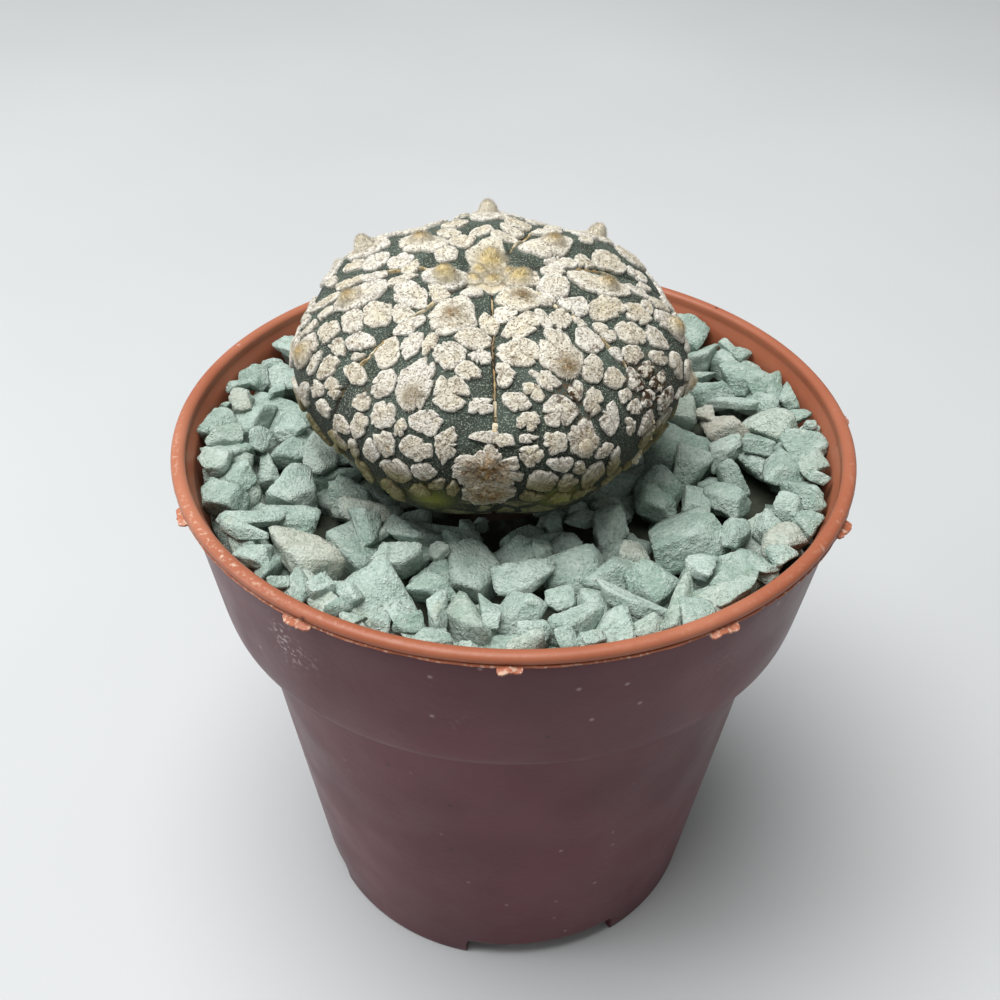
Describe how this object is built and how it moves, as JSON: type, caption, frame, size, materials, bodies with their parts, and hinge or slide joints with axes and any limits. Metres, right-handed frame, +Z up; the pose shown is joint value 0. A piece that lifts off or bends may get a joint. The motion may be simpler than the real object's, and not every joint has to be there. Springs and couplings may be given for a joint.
{
  "type": "potted star cactus",
  "caption": "Low ribbed cactus covered in raised felt flecks, standing in a small tapered nursery pot topped with mineral chips.",
  "frame": {"origin": "ground plane under the middle of the pot", "axes": "+Z up along the pot's axis; the front, with one furrow of the stem and a foot notch facing it, looks along -Y"},
  "size_m": [0.0555, 0.0558, 0.0637],
  "materials": {
    "pot": "thin satin terracotta plastic, wine brown outside",
    "soil": null,
    "gravel": "matt pale green mineral chips",
    "cactus": null
  },
  "bodies": {
    "root": {"pot": "pot", "soil": "soil", "gravel": "gravel", "cactus": "cactus"}
  },
  "joints": []
}
